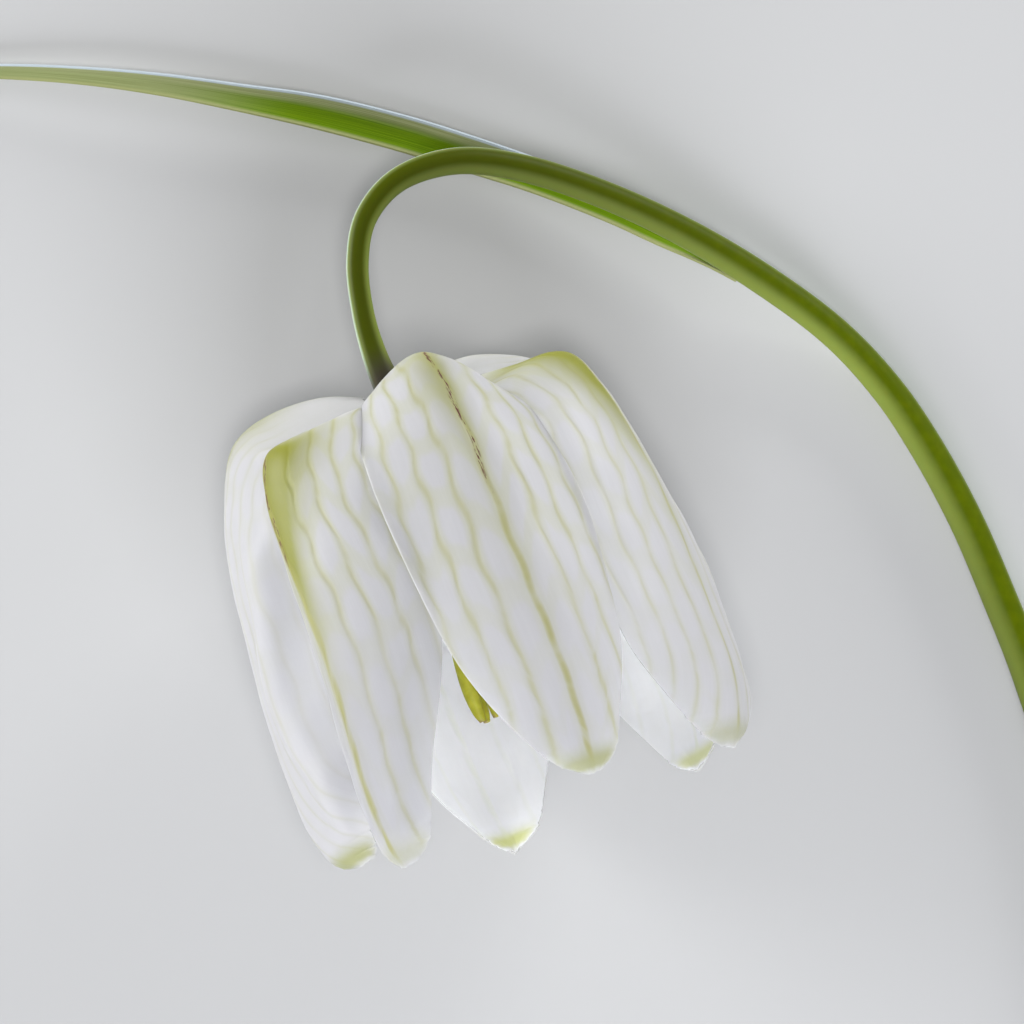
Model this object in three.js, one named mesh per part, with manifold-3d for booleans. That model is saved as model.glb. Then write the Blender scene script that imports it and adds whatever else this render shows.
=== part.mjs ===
// A checkered lily, the white form: one nodding bell flower on its arched stem with one leaf,
// cut and laid on a table. Millimetres, +Z up, origin on the table at the middle of the part.
import * as THREE from 'three';
import { mergeVertices } from 'three/addons/utils/BufferGeometryUtils.js';
import Module from 'manifold-3d';

const wasm = await Module();
wasm.setup();

// Driving dimensions
const CENTRE_SHIFT = new THREE.Vector3(4.55, -0.45, 0); // brings the middle of the box to the origin
const BELL_BASE = new THREE.Vector3(-10.6, 10.4, 15.7); // where the bell's axis leaves the pedicel
const AXIS_TURN = 20;            // degrees that the bell's axis turns from -Y towards +X
const AXIS_RISE = 9.6;           // degrees that the mouth rises over the base
const TEPAL_THICK = 0.62;
const TEPAL_CELLS = [12, 23];    // across, along
const SEAT_GAP = 0.3;            // clearance of a tepal's claw, the pistil and the stamens
const RECEPTACLE_R = 2.3;
const RECEPTACLE_END = 2.3;      // along the axis
const PISTIL_LENGTH = 27.6;      // ovary, style and stigma together
const PISTIL_LEAN = -0.055;      // sideways drift of the pistil and stamens, per mm of length
const STAMEN_LENGTH = 17.5;
const LEAF_THICK = 0.62;

// Ribs of the two kinds of tepal, from claw to tip: [distance from the axis, distance along it]
const OUTER_RIB = [
  [2.6, 0.7], [6.0, -0.6], [10.5, -0.8], [14.2, 0.5], [16.7, 5.2], [18.2, 10.6],
  [19.1, 17.0], [19.8, 23.5], [19.8, 29.5], [19.2, 34.5], [17.9, 38.6], [16.4, 40.9],
];
const INNER_RIB = [
  [2.6, 1.7], [6.5, 1.8], [11.5, 2.4], [15.8, 3.0], [17.5, 6.6], [18.6, 11.5],
  [19.6, 17.5], [20.1, 23.5], [20.2, 29.5], [19.9, 34.5], [18.6, 38.6], [17.0, 40.9],
];

// Shape of each kind: half widths in degrees round the axis at claw and body, where the taper
// starts and how blunt it is, how far the margins fall back to the axis (fold) and along it
// at the shoulder (sink), and how sharp the keel is there and lower down
const OUTER = {
  rib: OUTER_RIB, clawAngle: 37, bodyAngle: 33, taperFrom: 0.42, taperPower: 2.0, bluntness: 0.95,
  fold: 1.5, shoulderFold: 1.6, sink: 2.0, keel: 0.35, bodyKeel: 0.8,
};
const INNER = {
  rib: INNER_RIB, clawAngle: 36, bodyAngle: 35, taperFrom: 0.45, taperPower: 2.2, bluntness: 0.92,
  fold: 2.9, shoulderFold: 0.8, sink: 2.6, keel: 0.2, bodyKeel: 0.7,
};

// The six tepals: azimuth round the axis in degrees (0 faces up, + is towards +X), length along
// the axis, and how each one grew: wider (body), wider or higher (shoulder, rise), turned
// towards the tip (lean), spread at the tip (flare), and for its right and left half how broad
// it is, how much broader still on the shoulder (cape), how deep its margin is tucked in and
// how far it drapes, as shares of its kind
const TEPALS = {
  tepal_outer_1: { kind: OUTER, azimuth: 17, length: 39.9, body: -0.1, shoulder: 0.0, rise: -0.3,
    lean: 2.0, flare: 0.0, broad: [0.84, 0.94], cape: [0, 0], tuck: [0.66, 0.7], drape: [1, 1] },
  tepal_outer_2: { kind: OUTER, azimuth: 132, length: 38.4, body: 0.4, shoulder: 0.0, rise: 1.0,
    lean: -5.0, flare: 0.0, broad: [1.0, 1.0], cape: [0, 0], tuck: [0.9, 0.25], drape: [1, 1.6] },
  tepal_outer_3: { kind: OUTER, azimuth: -97.5, length: 37.8, body: 0.1, shoulder: 0.9, rise: 1.0,
    lean: -4.0, flare: 1.6, broad: [1.1, 1.1], cape: [0.2, 0], tuck: [0.05, 0.9], drape: [1.9, 1] },
  tepal_inner_1: { kind: INNER, azimuth: 77.6, length: 40.2, body: 0.3, shoulder: -0.1, rise: -0.1,
    lean: 0.0, flare: 0.7, broad: [0.85, 1.0], cape: [0, 0], tuck: [1.45, 1.15], drape: [1, 1] },
  tepal_inner_2: { kind: INNER, azimuth: 196, length: 39.4, body: 0.0, shoulder: 0.0, rise: 0.0,
    lean: -4.0, flare: 0.0, broad: [0.95, 0.88], cape: [0, 0], tuck: [1.0, 1.0], drape: [1, 1] },
  tepal_inner_3: { kind: INNER, azimuth: -45.5, length: 41.2, body: 0.0, shoulder: 0.4, rise: -0.5,
    lean: -2.0, flare: 0.0, broad: [1.0, 1.0], cape: [0, -0.27], tuck: [1.2, 1.65], drape: [1, 1.7] },
};

// Stem from the flower over its arch and down to the cut end: [x, y, z, diameter]
const STEM = [
  [-10.6, 10.4, 15.7, 2.4], [-12.0, 13.6, 15.2, 2.0], [-13.1, 17.5, 14.6, 1.95],
  [-13.6, 22.0, 13.8, 2.0], [-12.8, 26.1, 13.1, 2.05], [-9.9, 29.4, 12.2, 2.2],
  [-5.0, 31.0, 11.0, 2.4], [0.7, 30.5, 9.5, 2.45], [7.3, 28.5, 7.6, 2.5],
  [14.4, 25.4, 5.6, 2.62], [21.4, 21.4, 3.7, 2.8], [28.4, 16.4, 2.3, 2.85],
  [33.4, 11.2, 1.6, 2.95], [37.2, 5.6, 1.45, 3.05], [40.7, -0.9, 1.45, 3.1],
  [43.7, -7.9, 1.5, 3.15], [46.3, -14.5, 1.5, 3.2], [48.8, -22.6, 1.5, 3.2],
  [50.3, -31.1, 1.5, 3.2], [51.0, -39.2, 1.5, 3.2],
];

// Leaf from its seat under the stem to its tip: [x, y, z, half width]
const LEAF = [
  [19.0, 21.75, 2.6, 1.0], [15.0, 24.3, 2.3, 1.35], [9.7, 27.0, 1.9, 1.45], [2.5, 29.9, 1.5, 1.5],
  [-3.8, 32.0, 1.4, 1.6], [-10.0, 33.9, 1.6, 1.6], [-17.2, 35.7, 2.0, 1.5],
  [-24.3, 37.0, 2.4, 1.2], [-31.5, 38.2, 2.5, 0.95], [-38.6, 39.0, 2.2, 0.75],
  [-45.8, 39.4, 1.6, 0.62], [-53.9, 39.4, 0.9, 0.45], [-61.6, 39.0, 0.35, 0.3],
];
const LEAF_CHANNEL = 0.4;        // depth of the channel, as a share of the half width
const LEAF_SEAT_ROLL = 31;       // degrees that the leaf's base turns round the stem
const LEAF_ROLL_END = 0.15;      // share of the leaf over which that turn fades

// Helpers
const radians = THREE.MathUtils.degToRad;
const clamp01 = (x) => Math.min(Math.max(x, 0), 1);
const smooth = (x) => clamp01(x) ** 2 * (3 - 2 * clamp01(x));
const bell = (x, middle, width) => Math.exp(-(((x - middle) / width) ** 2));

// Smooth curve through rows of numbers, at t from 0 to 1
function spline(rows, t) {
  const last = rows.length - 1;
  const place = clamp01(t) * last;
  const i = Math.min(Math.floor(place), last - 1);
  const f = place - i;
  const from = rows[i];
  const to = rows[i + 1];
  return from.map((p1, k) => {
    const p2 = to[k];
    const p0 = i > 0 ? rows[i - 1][k] : 2 * p1 - p2;
    const p3 = i + 2 <= last ? rows[i + 2][k] : 2 * p2 - p1;
    const square = (2 * p0 - 5 * p1 + 4 * p2 - p3) * f * f;
    const cube = (3 * (p1 - p2) + p3 - p0) * f * f * f;
    return 0.5 * (2 * p1 + (p2 - p0) * f + square + cube);
  });
}

// The bell's own axes: along it to the mouth, to its right, and up out of its back
const turn = radians(AXIS_TURN);
const rise = radians(AXIS_RISE);
const ALONG = new THREE.Vector3(
  Math.sin(turn) * Math.cos(rise), -Math.cos(turn) * Math.cos(rise), Math.sin(rise));
const RIGHT = new THREE.Vector3(Math.cos(turn), Math.sin(turn), 0);
const UP = new THREE.Vector3().crossVectors(ALONG, RIGHT);

function bellPoint(radius, along, azimuth, lean = 0) {
  const angle = radians(azimuth);
  return BELL_BASE.clone()
    .addScaledVector(ALONG, along)
    .addScaledVector(UP, radius * Math.cos(angle))
    .addScaledVector(RIGHT, radius * Math.sin(angle) + lean * along);
}

function meshOf(name, geometry, colour, roughness) {
  geometry.translate(CENTRE_SHIFT.x, CENTRE_SHIFT.y, CENTRE_SHIFT.z);
  const material = new THREE.MeshStandardMaterial({ color: colour, roughness, metalness: 0 });
  const mesh = new THREE.Mesh(geometry, material);
  mesh.name = name;
  return mesh;
}

function geometryOf(points, triangles) {
  const geometry = new THREE.BufferGeometry();
  const numbers = points.flatMap((p) => [p.x, p.y, p.z]);
  geometry.setAttribute('position', new THREE.Float32BufferAttribute(numbers, 3));
  geometry.setIndex(triangles.flat());
  return geometry;
}

// Closed blade between two faces, each rows of points, split into triangles alike on both.
// The front lies on the side that the cross product of its columns' and rows' directions gives.
function bladeGeometry(front, back) {
  const rows = front.length;
  const columns = front[0].length;
  const points = [...front.flat(), ...back.flat()];
  const behind = rows * columns;
  const at = (row, column) => row * columns + column;
  const triangles = [];
  for (let row = 0; row < rows - 1; row += 1) {
    for (let column = 0; column < columns - 1; column += 1) {
      const [a, b, c, d] = [at(row, column), at(row, column + 1), at(row + 1, column + 1),
        at(row + 1, column)];
      triangles.push([a, b, c], [a, c, d]);
      triangles.push([a + behind, c + behind, b + behind], [a + behind, d + behind, c + behind]);
    }
  }
  const border = [];
  for (let column = 0; column < columns - 1; column += 1) border.push(at(0, column));
  for (let row = 0; row < rows - 1; row += 1) border.push(at(row, columns - 1));
  for (let column = columns - 1; column > 0; column -= 1) border.push(at(rows - 1, column));
  for (let row = rows - 1; row > 0; row -= 1) border.push(at(row, 0));
  border.forEach((a, i) => {
    const b = border[(i + 1) % border.length];
    triangles.push([b, a, a + behind], [b, a + behind, b + behind]);
  });
  return geometryOf(points, triangles);
}

// Faces of a blade laid half its thickness to each side of a surface(across, down)
function bladeFaces(surface, across, down, thickness) {
  const step = 1e-3;
  const faces = [[], []];
  for (let row = 0; row <= down; row += 1) {
    const v = row / down;
    const rows = [[], []];
    for (let column = 0; column <= across; column += 1) {
      const u = (2 * column) / across - 1;
      const place = surface(u, v);
      const low = Math.max(v - step, 0);
      const high = Math.min(v + step, 1);
      const alongU = surface(u + step, v).sub(surface(u - step, v));
      const alongV = surface(u, high).sub(surface(u, low));
      const normal = alongU.cross(alongV).normalize();
      rows[0].push(place.clone().addScaledVector(normal, thickness / 2));
      rows[1].push(place.clone().addScaledVector(normal, -thickness / 2));
    }
    faces[0].push(rows[0]);
    faces[1].push(rows[1]);
  }
  return faces;
}

// Closed tube through [x, y, z, diameter] rows, with flat ends
function tubeGeometry(rows, sides, steps) {
  const points = [];
  const triangles = [];
  const nodes = [];
  for (let i = 0; i <= steps; i += 1) nodes.push(spline(rows, i / steps));
  const centres = nodes.map(([x, y, z]) => new THREE.Vector3(x, y, z));
  let side = new THREE.Vector3(0, 0, 1);
  centres.forEach((centre, i) => {
    const before = centres[Math.max(i - 1, 0)];
    const after = centres[Math.min(i + 1, steps)];
    const tangent = after.clone().sub(before).normalize();
    if (i === 0 && Math.abs(tangent.z) > 0.9) side = new THREE.Vector3(1, 0, 0);
    side = side.clone().addScaledVector(tangent, -side.dot(tangent)).normalize();
    const other = new THREE.Vector3().crossVectors(tangent, side);
    const radius = nodes[i][3] / 2;
    for (let k = 0; k < sides; k += 1) {
      const angle = (2 * Math.PI * (k + 0.5)) / sides;
      points.push(centre.clone()
        .addScaledVector(side, radius * Math.cos(angle))
        .addScaledVector(other, radius * Math.sin(angle)));
    }
  });
  for (let i = 0; i < steps; i += 1) {
    for (let k = 0; k < sides; k += 1) {
      const next = (k + 1) % sides;
      const [a, b] = [i * sides + k, i * sides + next];
      const [c, d] = [(i + 1) * sides + next, (i + 1) * sides + k];
      triangles.push([a, b, c], [a, c, d]);
    }
  }
  const end = steps * sides;
  for (let k = 1; k < sides - 1; k += 1) {
    triangles.push([0, k + 1, k], [end, end + k, end + k + 1]);
  }
  return geometryOf(points, triangles);
}

// One body from geometries that run into each other
function fuse(geometries) {
  const solids = geometries.map((geometry) => {
    const bare = geometry.toNonIndexed();
    ['normal', 'uv'].forEach((name) => bare.deleteAttribute(name));
    const merged = mergeVertices(bare, 1e-4);
    return new wasm.Manifold(new wasm.Mesh({
      numProp: 3,
      vertProperties: new Float32Array(merged.attributes.position.array),
      triVerts: new Uint32Array(merged.index.array),
    }));
  });
  const mesh = solids.reduce((whole, solid) => whole.add(solid)).getMesh();
  const geometry = new THREE.BufferGeometry();
  geometry.setAttribute('position', new THREE.BufferAttribute(mesh.vertProperties, 3));
  geometry.setIndex(new THREE.BufferAttribute(mesh.triVerts, 1));
  return geometry;
}

// Lifts what would dip under the table, so that the blade rests on it with its full thickness
function rest(lower, upper, thickness) {
  lower.flat().forEach((p) => { p.z = Math.max(p.z, 0); });
  upper.flat().forEach((p) => { p.z = Math.max(p.z, thickness); });
}

// A tepal: a keeled blade that leaves the receptacle flat, turns down over its shoulder and
// hangs as one sixth of the bell, its margins folded back towards the axis
function tepal({ kind, azimuth, length, body, shoulder, rise: lift, lean, flare, broad, cape,
  tuck, drape }) {
  const ribLength = kind.rib[kind.rib.length - 1][1];
  const bodyFrom = 5;            // along the axis, where the length starts to stretch
  const surface = (across, down) => {
    let [radius, along] = spline(kind.rib, down);
    const hump = bell(down, 0.27, 0.13);
    radius += body * smooth(down / 0.4) + shoulder * bell(down, 0.32, 0.16);
    radius += flare * smooth((down - 0.8) / 0.2);
    if (along > bodyFrom) {
      along = bodyFrom + ((along - bodyFrom) * (length - bodyFrom)) / (ribLength - bodyFrom);
    }
    along -= lift * bell(down, 0.22, 0.17);
    const narrowing = clamp01((down - kind.taperFrom) / (1 - kind.taperFrom)) * 0.985;
    const taper = (1 - narrowing ** kind.taperPower) ** kind.bluntness;
    const halfAngle = (kind.clawAngle + (kind.bodyAngle - kind.clawAngle) * smooth(down / 0.5)) * taper;
    const keel = kind.keel + (kind.bodyKeel - kind.keel) * smooth((down - 0.2) / 0.35);
    const roof = (Math.hypot(across, keel) - keel) / (Math.hypot(1, keel) - keel);
    const half = across > 0 ? 0 : 1;
    const depth = (kind.fold * smooth(down / 0.3) * taper + kind.shoulderFold * hump) * tuck[half];
    const breadth = broad[half] + cape[half] * bell(down, 0.4, 0.18);
    const angle = azimuth + lean * down * down + across * breadth * halfAngle;
    const sink = kind.sink * drape[half] * bell(down, 0.2, 0.16);
    return bellPoint(radius - depth * roof, along + sink * roof, angle);
  };
  const [inside, outside] = bladeFaces(surface, TEPAL_CELLS[0], TEPAL_CELLS[1], TEPAL_THICK);
  rest(outside, inside, TEPAL_THICK);
  return bladeGeometry(inside, outside);
}

// The stem is one piece with the receptacle that carries the flower
function stem() {
  const sides = 12;
  const steps = 60;
  const flare = [[-3.0, 1.9], [-1.6, 2.4], [-0.5, 3.6], [0.1, 4.5], [0.8, 4.6], [1.6, 4.6],
    [RECEPTACLE_END, 2 * RECEPTACLE_R]];
  const rows = flare.map(([along, diameter]) => [...bellPoint(0, along, 0).toArray(), diameter]);
  const body = tubeGeometry(STEM, sides, steps);
  const place = body.attributes.position;
  for (let i = 0; i < place.count; i += 1) place.setZ(i, Math.max(place.getZ(i), 0));
  return fuse([body, tubeGeometry(rows, sides, 10)]);
}

// The leaf is channelled and sits with its base against the underside of the stem
function leaf() {
  const surface = (across, down) => {
    const [x, y, z, half] = spline(LEAF, down);
    const next = new THREE.Vector3(...spline(LEAF, Math.min(down + 0.01, 1)));
    const before = new THREE.Vector3(...spline(LEAF, Math.max(down - 0.01, 0)));
    const tangent = next.sub(before).normalize();
    const flat = new THREE.Vector3().crossVectors(new THREE.Vector3(0, 0, 1), tangent).normalize();
    const raised = new THREE.Vector3().crossVectors(tangent, flat);
    const roll = radians(LEAF_SEAT_ROLL) * (1 - smooth(down / LEAF_ROLL_END));
    const wide = flat.clone().multiplyScalar(Math.cos(roll)).addScaledVector(raised, Math.sin(roll));
    const high = raised.multiplyScalar(Math.cos(roll)).addScaledVector(flat, -Math.sin(roll));
    return new THREE.Vector3(x, y, z)
      .addScaledVector(wide, half * across)
      .addScaledVector(high, LEAF_CHANNEL * half * across * across);
  };
  const [below, above] = bladeFaces(surface, 6, 40, LEAF_THICK);
  rest(below, above, LEAF_THICK);
  return bladeGeometry(below, above);
}

// Ovary, style and the three lobes of the stigma, seated on the receptacle
function pistil() {
  const start = RECEPTACLE_END + SEAT_GAP;
  const end = start + PISTIL_LENGTH;
  const row = (along, diameter) => [...bellPoint(0, along, 0, PISTIL_LEAN).toArray(), diameter];
  const style = tubeGeometry([
    row(start, 2.6), row(start + 3, 2.9), row(start + 6, 2.7), row(start + 9, 1.5),
    row(start + 13, 1.3), row(start + 18, 1.6), row(end - 5, 2.0),
  ], 10, 16);
  const lobes = [320, 80, 200].map((azimuth) => {
    const lobe = (along, out, diameter) => [
      ...bellPoint(out, along, azimuth)
        .addScaledVector(RIGHT, PISTIL_LEAN * along).toArray(), diameter];
    return tubeGeometry([
      lobe(end - 8.5, 0.3, 1.0), lobe(end - 6, 0.75, 1.4), lobe(end - 3, 1.15, 1.4),
      lobe(end - 1, 1.4, 1.3), lobe(end, 1.75, 0.8),
    ], 6, 8);
  });
  return fuse([style, ...lobes]);
}

// A thread-like filament that ends in a long anther
function stamen(azimuth) {
  const start = RECEPTACLE_END + SEAT_GAP;
  const row = (along, out, diameter) => [
    ...bellPoint(out, start + along, azimuth)
      .addScaledVector(RIGHT, PISTIL_LEAN * (start + along)).toArray(), diameter];
  const neck = 0.6 * STAMEN_LENGTH;
  return tubeGeometry([
    row(0, 1.95, 0.7), row(0.3 * neck, 2.2, 0.7), row(0.65 * neck, 2.7, 0.62), row(neck, 3.1, 0.6),
    row(neck + 1, 3.15, 1.5), row(neck + 3.5, 3.2, 1.6), row(STAMEN_LENGTH - 1, 3.2, 1.4),
    row(STAMEN_LENGTH, 3.2, 0.7),
  ], 6, 14);
}

const flower = new THREE.Group();
flower.add(meshOf('stem', stem(), 0x75803a, 0.5));
flower.add(meshOf('leaf', leaf(), 0x6f8f3a, 0.5));
for (const [name, shape] of Object.entries(TEPALS)) {
  flower.add(meshOf(name, tepal(shape), 0xeeeef2, 0.55));
}
flower.add(meshOf('pistil', pistil(), 0xa8a23c, 0.5));
for (let i = 0; i < 6; i += 1) {
  flower.add(meshOf(`stamen_${i + 1}`, stamen(17 + 60 * i), 0xd8c766, 0.7));
}

export default flower;
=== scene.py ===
"""A checkered lily flower in white: one nodding bell on a hooked stem with a single leaf.

The cut flower lies on a table and is seen from straight above. Lengths are in millimetres
until a mesh is laid, and the angles of the bell are in degrees round its own axis.
"""
import math

import bpy
import numpy as np
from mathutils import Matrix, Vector


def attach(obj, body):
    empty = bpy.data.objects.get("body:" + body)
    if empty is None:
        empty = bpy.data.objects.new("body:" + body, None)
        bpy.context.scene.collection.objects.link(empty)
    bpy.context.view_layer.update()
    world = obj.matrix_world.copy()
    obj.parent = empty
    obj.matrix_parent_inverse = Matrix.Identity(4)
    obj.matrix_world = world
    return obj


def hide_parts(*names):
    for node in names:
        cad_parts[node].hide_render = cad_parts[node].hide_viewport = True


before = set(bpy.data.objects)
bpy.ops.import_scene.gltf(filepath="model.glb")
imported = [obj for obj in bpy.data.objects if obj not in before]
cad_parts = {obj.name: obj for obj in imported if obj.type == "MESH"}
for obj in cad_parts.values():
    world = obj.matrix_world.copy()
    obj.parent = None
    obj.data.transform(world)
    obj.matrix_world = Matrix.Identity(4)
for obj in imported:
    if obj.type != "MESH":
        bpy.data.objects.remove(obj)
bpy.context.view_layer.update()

MM = 0.001

# The bell, the stem and the leaf are placed from the middle of the view, which lies here
CENTRE = np.array([4.55, -0.45, 0.0])

# Where the bell hangs: its base, and its own axes to the mouth, to the right and up from the table
BELL_BASE = np.array([-10.6, 10.4, 15.7]) + CENTRE
TURN = math.radians(20)
RISE = math.radians(9.6)
ALONG = np.array([math.sin(TURN) * math.cos(RISE), -math.cos(TURN) * math.cos(RISE), math.sin(RISE)])
RIGHT = np.array([math.cos(TURN), math.sin(TURN), 0.0])
UP = np.cross(ALONG, RIGHT)

# [radius, distance along the axis] down the middle of a tepal, from the claw to the tip
OUTER_RIB = [
    [2.6, 0.7], [6.0, -0.6], [10.5, -0.8], [14.2, 0.5], [16.7, 5.2], [18.2, 10.6],
    [19.1, 17.0], [19.8, 23.5], [19.8, 29.5], [19.2, 34.5], [17.9, 38.6], [16.4, 40.9],
]
INNER_RIB = [
    [2.6, 1.7], [6.5, 1.8], [11.5, 2.4], [15.8, 3.0], [17.5, 6.6], [18.6, 11.5],
    [19.6, 17.5], [20.1, 23.5], [20.2, 29.5], [19.9, 34.5], [18.6, 38.6], [17.0, 40.9],
]

# The two kinds of tepal. Angles are the half width of the blade in degrees, folds and sinks are
# millimetres, and veins is how many lie in the half width.
OUTER = dict(
    rib=OUTER_RIB, claw_angle=37, body_angle=33, taper_from=0.42, taper_power=2.0, tip_width=0.26,
    fold=1.5, shoulder_fold=1.6, sink=2.0, keel=0.14, body_keel=0.8, veins=4.6,
)
INNER = dict(
    rib=INNER_RIB, claw_angle=36, body_angle=35, taper_from=0.45, taper_power=2.2, tip_width=0.26,
    fold=2.9, shoulder_fold=0.8, sink=2.6, keel=0.2, body_keel=0.7, veins=5.2,
)

# What sets each tepal apart from its kind. The lists of six run from the claw to the tip:
#   swing                  degrees that the middle turns aside
#   right, left            width of each half of the blade, as a share of its kind's
#   stand, lift            millimetres that the middle stands out from the axis, and sits towards
#                          the stem
#   right_tuck, left_tuck  how far each margin tucks in, as a share of its kind's fold
# The other values:
#   drape    how far the right and the left half slope off the shoulder
#   dashes   where the brown dashes on the keel end, or 0 where there are none
#   knob     how green the tip is
#   green    green along the keel: its strength, how far it reaches right and left, where it ends,
#            its share on the dome and how far it lies aside
#   crest    strength of the crease where the blade is folded, and of the painted shade beyond it
#   painted_dusk  how far painted shade darkens the blade's lower part
#   veining  strength of the veins
#   beak     length of the point at the tip, and where it sits across the blade
#   seed     sets the waves of the veins, the margins and the crimps
TEPALS = {
    "tepal_outer_1": dict(
        kind=OUTER, azimuth=17, length=39.9, swing=[0, 0.1, 0.1, -0.5, 1.0, 2],
        right=[0.84, 0.84, 0.84, 0.86, 0.73, 0.54], left=[1.05, 1.03, 0.93, 0.88, 0.88, 0.55],
        stand=[0, 0, -0.1, -0.1, -0.1, -0.1], lift=[-0.1, -0.3, -0.1, 0, 0, 0],
        right_tuck=[0.65, 0.6, 0.7, 0.8, 0.9, 0.65], left_tuck=[1.0, 1.75, 0.2, 0.55, 1.15, 0.8],
        drape=[2.5, 1.1], dashes=0.52, knob=0.8, crest=0, painted_dusk=0.15, veining=1, beak=[0.15, 0],
        green=dict(strength=0.6, right=1.3, left=2.2, end=0.5, dome=0.6, aside=0), seed=1.3),
    "tepal_outer_2": dict(
        kind=OUTER, azimuth=132, length=39.3, swing=[0, -0.2, -0.8, -1.8, -3.6, -8.5],
        right=[1, 1, 1, 0.98, 0.93, 0.63], left=[1, 1, 1, 1, 1, 1],
        stand=[0, 0.2, 0.4, 0.4, 0.4, 0.4], lift=[0.2, 1.0, 0.3, 0, 0, 0],
        right_tuck=[0.9, 0.9, 0.9, 0.9, 0.9, 0.9], left_tuck=[0.25, 0.25, 0.25, 0.25, 0.25, 0.25],
        drape=[1, 1.6], dashes=0, knob=0.8, crest=0, painted_dusk=0, veining=0.5, beak=[0.3, 0.1],
        green=dict(strength=0.5, right=2, left=2, end=0.42, dome=0.5, aside=0), seed=2.1),
    "tepal_outer_3": dict(
        kind=OUTER, azimuth=-97.5, length=39.7, swing=[0, 0, 0, -1, 6, 40],
        right=[1.25, 1.4, 1.55, 1.75, 2.1, 0.75], left=[1.1, 1.1, 1.1, 1.1, 1.0, 1.0],
        stand=[0, 0.5, 0.4, 0, 0.35, 1.8], lift=[1.2, 1.1, 0.3, 0, 0, 0],
        right_tuck=[0.5, 0.4, 0.4, 1.1, 1.3, 1.0], left_tuck=[0.9, 0.9, 0.9, 0.9, 0.9, 0.9],
        drape=[3.0, 1], dashes=0, knob=0.85, crest=1.0, painted_dusk=0, veining=0.3, beak=[0.15, 0],
        green=dict(strength=1.15, right=3.2, left=2.5, end=0.47, dome=0.45, aside=0), seed=3.7),
    "tepal_inner_1": dict(
        kind=INNER, azimuth=77.6, length=40.6, swing=[-1, -2, -2.5, -6, -6, -9.5],
        right=[0.85, 0.85, 0.85, 0.85, 0.87, 0.7], left=[1, 1, 1, 0.92, 1.17, 0.62],
        stand=[0, 0.1, 0.5, 0.35, 0.6, 1.7], lift=[0, 0.3, 0, 0, 0, 0],
        right_tuck=[1.2, 1.0, 0.9, 0, 0, 0.2], left_tuck=[1.15, 1.6, 1.0, 0.9, 0.75, 1.15],
        drape=[1, 1], dashes=0, knob=0.5, crest=0, painted_dusk=0.1, veining=0.6, beak=[0.5, -0.25],
        green=dict(strength=1.0, right=0.8, left=3.9, end=0.5, dome=0.95, aside=-0.9), seed=4.2),
    "tepal_inner_2": dict(
        kind=INNER, azimuth=196, length=39.6, swing=[0, -0.2, -0.6, -1.4, -2.6, -3.8],
        right=[0.95, 0.95, 0.95, 0.92, 0.6, 0.4], left=[0.88, 0.88, 0.88, 0.98, 0.8, 0.46],
        stand=[0, 0, 0, 0, 0, 0], lift=[0, 0, 0, 0, 0, 0],
        right_tuck=[1, 1, 1, 1, 1, 1], left_tuck=[1, 1, 1, 1, 1, 1],
        drape=[1, 1], dashes=0, knob=0.88, crest=0, painted_dusk=0, veining=0.5, beak=[0.55, 0],
        green=dict(strength=0.5, right=2, left=2, end=0.42, dome=0.5, aside=0), seed=5.9),
    "tepal_inner_3": dict(
        kind=INNER, azimuth=-45.5, length=41.5, swing=[0, 0, 0.3, 6.0, 3.6, -2],
        right=[1, 1, 1, 0.99, 0.79, 0.72], left=[1, 0.5, 0.22, 0.2, 0.25, 0.45],
        stand=[0, 0.2, 0.3, 0, 0, 0], lift=[-0.1, -0.5, -0.2, 0, 0, 0],
        right_tuck=[1.2, 1.4, 0.6, 0.75, 0.5, 1.0], left_tuck=[1, 1, 0.8, 0.45, 0.4, 0.6],
        drape=[-0.35, 1.7], dashes=0.5, knob=0.4, crest=0, painted_dusk=0.85, veining=1, beak=[0.1, 0],
        green=dict(strength=1.35, right=4.7, left=0.5, end=0.58, dome=0.15, aside=0), seed=6.4),
}

TEPAL_CELLS = (100, 220)
TEPAL_THICK = 0.38
BODY_FROM = 5                 # along the axis, from where a longer tepal is stretched
TIP_FROM = 0.93               # where the tip starts to round off
MARGIN = 12                   # about the millimetres from a tepal's middle to its margin
NIBBLE = 0.018                # unevenness of the margins near the tip, as a share of the width
FRAY = 0.0012                 # unevenness of the tip, as a share of the length
CREASE_AT = 0.62              # where the crease of a folded tepal runs, across the blade
CREASE_RISE = 0.8             # how far the crease stands up
CREASE_FALL = 0.9             # how far the blade lies lower beyond it
QUILT_HEIGHT = 0.045          # how far the oval cells swell between the veins
RIPPLE_HEIGHT = 0.16          # waves of the margins
BUCKLE_HEIGHT = 0.09          # broad dents
PLEAT_HEIGHT = 0.03           # fine pleats off the middle
VEIN_SWING = 0.08             # sideways wave of a vein, in vein spacings
CELL_ROWS = 11.5              # waves of a vein from the claw to the tip


# ---- Curves ----

def smooth(x):
    """Eases from 0 at 0 to 1 at 1."""
    x = np.clip(x, 0, 1)
    return x * x * (3 - 2 * x)


def bell(x, middle, width):
    """A bump of height 1."""
    return np.exp(-((x - middle) / width) ** 2)


def spline(rows, t):
    """Smooth curve through rows of numbers, at each t from 0 to 1."""
    rows = np.array(rows, float)
    last = len(rows) - 1
    padded = np.vstack([2 * rows[0] - rows[1], rows, 2 * rows[-1] - rows[-2]])
    place = np.clip(t, 0, 1) * last
    i = np.minimum(np.floor(place).astype(int), last - 1)
    f = (place - i)[:, None]
    p0, p1, p2, p3 = padded[i], padded[i + 1], padded[i + 2], padded[i + 3]
    square = (2 * p0 - 5 * p1 + 4 * p2 - p3) * f * f
    cube = (3 * (p1 - p2) + p3 - p0) * f * f * f
    return 0.5 * (2 * p1 + (p2 - p0) * f + square + cube)


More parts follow.
